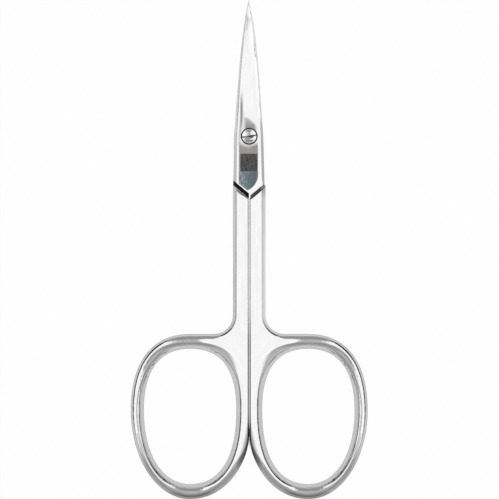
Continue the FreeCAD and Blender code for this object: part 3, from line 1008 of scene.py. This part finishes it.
# %% Dark places
FORK_START = -52.6
FORK_RADIUS = 12.0
FORK_DEPTH = 6.0
FORK_EDGE = 0.04
FORK_SHADE_GREY = 0.01
FORK_SHADE_WIDTHS = (-50.5, -55.5, 0.34, 0.86)
FORK_SHADE_LIMITS = (("along", -50.0, -52.8, 0.0, 0.97), ("along", -54.4, -57.0, 1.0, 0.85), ("along", -63.4, -56.6))
LAP_GREY = (0.4, 0.4, 0.395, 1)
LAP = (*between("along", -13.2, 1.6, 0.2), *between("up", -0.2, 0.6, 0.1), ("facing_up", 0.975, 0.99))
V_SHADOW = between("arm", -12.6, -9.9, 0.25)
PAINTED_SHADOW = (0.02, 0.02, 0.021, 1)
SWIRLS = {"scale": 5.0, "detail": 3.0, "roughness": 0.7}
SWIRL_FADE = (0.3, 0.7, 0.8, 1.15)


def painted_fork_shade(tree, here):
    """How much painted shade lies beside the fork's round edge, from 0 to 1."""
    below = smaller(tree, larger(tree, minus(tree, FORK_START, here["along"]), 0.0), FORK_DEPTH)
    reach = calc(tree, "POWER", minus(tree, FORK_RADIUS ** 2, times(tree, below, below)), 0.5)
    from_edge = minus(tree, here["aside"], minus(tree, FORK_RADIUS + FORK_EDGE, reach))
    share = calc(tree, "DIVIDE", from_edge, fade(tree, here["along"], *FORK_SHADE_WIDTHS))
    return times(tree, calc(tree, "SUBTRACT", 1.0, share, clamp=True), where(tree, here, FORK_SHADE_LIMITS))


def lap_colour(tree, here):
    swirls = fade(tree, noise(tree, place(tree, here["from_screw"], 0.0, 0.0), **SWIRLS), *SWIRL_FADE)
    return blend_colours(tree, 1.0, LAP_GREY, swirls, "MULTIPLY")


print("fork shade runs from", FORK_SHADE_LIMITS[0][1], "to", FORK_SHADE_LIMITS[2][1], "mm")

# %% [markdown]
# ### The finished steel
#
# The finishes and the painted light and shade are put together in the order in which the finishes
# would be made, and the roughness and the bump follow the same masks: smudges with ridges on the
# polish, a matt face, a rougher field.

# %% Roughness of the steel
ROUGH_LIMITS = (0.3, 0.7)
ROUGH_SHARES = (0.85, 1.2)
RIDGE_FADE = (0.3, 0.7, 0.6, 1.0)
SMUDGE_ROUGHNESS = 0.035
FLANK_ROUGHNESS = (-2.0, 3.0, 0.5, 0.28)
FACE_ROUGHNESS = 0.38
FIELD_ROUGHNESS = 0.55
LAP_ROUGHNESS = 0.3
SHADOW_ROUGHNESS = 0.6


def steel_roughness(tree, here, flank, lap, hidden):
    lock, wear = here["lock"], here["wear"]
    smoothest, roughest = (STEEL_ROUGHNESS * share for share in ROUGH_SHARES)
    rough = fade(tree, here["grain"]["Broad"], *ROUGH_LIMITS, smoothest, roughest)
    smudged = times(tree, wear["Smudge"], fade(tree, wear["Ridges"], *RIDGE_FADE))
    rough = plus(tree, rough, times(tree, smudged, SMUDGE_ROUGHNESS))
    rough = blend_values(tree, flank, rough, fade(tree, here["along"], *FLANK_ROUGHNESS))
    rough = blend_values(tree, larger(tree, lock["Face"], lock["Patch"]), rough, FACE_ROUGHNESS)
    rough = blend_values(tree, lock["Field"], rough, FIELD_ROUGHNESS)
    rough = blend_values(tree, lap, rough, LAP_ROUGHNESS)
    return blend_values(tree, larger(tree, hidden, lock["Notch"]), rough, SHADOW_ROUGHNESS)


print("roughness: polish", STEEL_ROUGHNESS, "face", FACE_ROUGHNESS, "field", FIELD_ROUGHNESS)

# %% Forged steel
GRAIN_BUMP = 0.05
TRACK_BUMP = 2.0


def steel_colour(tree, here, flank, lap, tracks):
    # Grain, painted flank light, painted lines on the bows and painted shade in dim places.
    shade = times(tree, grain_shade(tree, here), painted_flank_light(tree, here, flank), painted_bow_lines(tree, here),
                  painted_shade_places(tree, here))
    colour = blend_colours(tree, 1.0, grey(STEEL), shade, "MULTIPLY")
    colour = lock_colours(tree, here, colour, tracks)
    colour = blend_colours(tree, painted_fork_shade(tree, here), colour, grey(FORK_SHADE_GREY))
    return blend_colours(tree, lap, colour, lap_colour(tree, here))


def bumped(tree, height, strength, normal=None):
    bump = add_node(tree, "ShaderNodeBump")
    bump.inputs["Distance"].default_value = BUMP_HEIGHT
    bump.inputs["Strength"].default_value = strength
    plug(tree, bump.inputs["Height"], height)
    plug(tree, bump.inputs["Normal"], normal)
    return bump.outputs["Normal"]


def half_material():
    material, tree, shader = metal("forged_steel")
    here = places_on_half(tree)
    flank = flank_mask(tree, here)
    tracks = fade(tree, drawn_out(tree, here, TRACK_STRETCH, TRACKS), *TRACK_FADE)
    lap = where(tree, here, LAP)
    # Painted shadow, near black: the lap where it shows in the V, and the floor of the screw's recess.
    hidden = larger(tree, times(tree, lap, where(tree, here, V_SHADOW)), here["lock"]["Recess"])
    colour = steel_colour(tree, here, flank, lap, tracks)
    plug(tree, shader.inputs["Base Color"], blend_colours(tree, hidden, colour, PAINTED_SHADOW))
    plug(tree, shader.inputs["Roughness"], steel_roughness(tree, here, flank, lap, hidden))
    dull = larger(tree, here["lock"]["Face"], here["lock"]["Patch"])
    height = plus(tree, here["grain"]["Lines"], times(tree, tracks, dull, TRACK_BUMP))
    plug(tree, shader.inputs["Normal"], bumped(tree, height, GRAIN_BUMP, leaning_normal(tree, here)))
    return material


forged = half_material()
print("forged steel has", len(forged.node_tree.nodes), "nodes")

# %% [markdown]
# ## Steel of the screw
#
# The screw's head is turned on a lathe, so its fine rings run round the axis, and dark patches lie
# beside the slot. Each patch is an oval in the slot's own directions: its middle, half its length
# and width, and its strength. The floor of the slot and the gap round the head are painted dark as
# shade, darkest in the gap.

# %% Screw steel
SLOT_TURN = math.radians(8)
DARK_SPOTS = (
    ((-0.02, 0.95), 0.62, 0.24, 0.62), ((-0.1, 0.42), 0.4, 0.12, 0.5), ((-0.35, -0.36), 0.62, 0.26, 0.7),
    ((-0.42, -0.72), 0.42, 0.22, 0.85), ((0.28, -0.84), 0.3, 0.13, 1.0), ((0.4, -0.2), 0.36, 0.22, 1.0))
DARK_SPOT_EDGE = (1.7, 0.2)
DARK_SPOT_FADE = (0.3, 0.6, 0.6, 1.2)
HEAD_RADIUS = 1.32
HEAD_EDGE = 0.05
HEAD_HEIGHTS = (1.1, 0.9)
HEAD_GREYS = (0.66, 0.16)
HEAD_ROUGHNESS = (0.16, 0.3)
HEAD_BUMP = 0.25
DRAG_STRETCH = 0.35
DRAGS = {"scale": 3.6, "detail": 3.0, "roughness": 0.6}
RINGS = {"scale": 14.0, "detail": 2.0}
RING_FADE = (0.3, 0.7, 0.93, 1.04)
SLOT = (*between("slot_aside", -0.16, 0.16, 0.03), ("up", 1.3, 1.2))
SLOT_SHADOW_MIDDLE = 0.36
SLOT_SHADOW_FADE = (0.3, 0.7, 0.05, 0.34)
GAP_SHADOW = 0.035


def places_on_screw(tree):
    """A point's place, also along the slot and beside it."""
    spot = millimetres(tree)
    across, along, up = split(tree, spot)
    turned = add_node(tree, "ShaderNodeMapping")
    plug(tree, turned.inputs["Vector"], spot)
    turned.inputs["Rotation"].default_value = (0, 0, -SLOT_TURN)
    slot = split(tree, turned.outputs[0])
    radius = distance(tree, across, along, (0, 0))
    return {"radius": radius, "up": up, "slot_along": slot[0], "slot_aside": slot[1]}


def dark_patches(tree, here, drags):
    spots = 0.0
    for middle, half_length, half_width, strength in DARK_SPOTS:
        aside = calc(tree, "DIVIDE", minus(tree, here["slot_along"], middle[0]), half_length)
        beyond = calc(tree, "DIVIDE", minus(tree, here["slot_aside"], middle[1]), half_width)
        spots = larger(tree, fade(tree, squares(tree, aside, beyond), *DARK_SPOT_EDGE, 0.0, strength), spots)
    return calc(tree, "MULTIPLY", spots, fade(tree, drags, *DARK_SPOT_FADE), clamp=True)


def shadow_on_screw(tree, here):
    """Where painted shadow lies in the slot and round the head, and its grey."""
    beside_head = fade(tree, here["radius"], HEAD_RADIUS - HEAD_EDGE, HEAD_RADIUS)
    in_gap = larger(tree, fade(tree, here["up"], *HEAD_HEIGHTS), beside_head)
    shadow_grey = fade(tree, apart(tree, here["slot_along"], SLOT_SHADOW_MIDDLE), *SLOT_SHADOW_FADE)
    return larger(tree, where(tree, here, SLOT), in_gap), blend_values(tree, in_gap, shadow_grey, GAP_SHADOW)


def screw_material():
    material, tree, shader = metal("turned_steel")
    here = places_on_screw(tree)
    rings = noise(tree, place(tree, here["radius"], 0.0, 0.0), **RINGS)
    dragged = place(tree, times(tree, here["slot_along"], DRAG_STRETCH), here["slot_aside"], 0.0)
    drags = noise(tree, dragged, **DRAGS)
    patches = dark_patches(tree, here, drags)
    shade = blend_colours(tree, patches, *(grey(shade) for shade in HEAD_GREYS))
    shade = blend_colours(tree, 1.0, shade, fade(tree, rings, *RING_FADE), "MULTIPLY")
    # Painted shadow in the slot and in the gap round the head.
    in_shadow, shadow_grey = shadow_on_screw(tree, here)
    plug(tree, shader.inputs["Base Color"], blend_colours(tree, in_shadow, shade, shadow_grey))
    rough = blend_values(tree, patches, *HEAD_ROUGHNESS)
    plug(tree, shader.inputs["Roughness"], blend_values(tree, in_shadow, rough, SHADOW_ROUGHNESS))
    plug(tree, shader.inputs["Normal"], bumped(tree, plus(tree, rings, drags), HEAD_BUMP))
    return material


turned_steel = screw_material()
print("turned steel has", len(turned_steel.node_tree.nodes), "nodes")

# %% [markdown]
# ## Finish
#
# The materials go on the three pieces as they come from the frame. The pieces keep their place and
# their mesh, so the box around them has to be the same as at the start.

# %% Put the steel on
for name, material in (("upper_half", forged), ("lower_half", forged), ("pivot_screw", turned_steel)):
    frame["nodes"][name].material_slots[0].material = material
    print(name, "is", material.name)

# %% Finish
bpy.context.scene.view_settings.view_transform = "Standard"
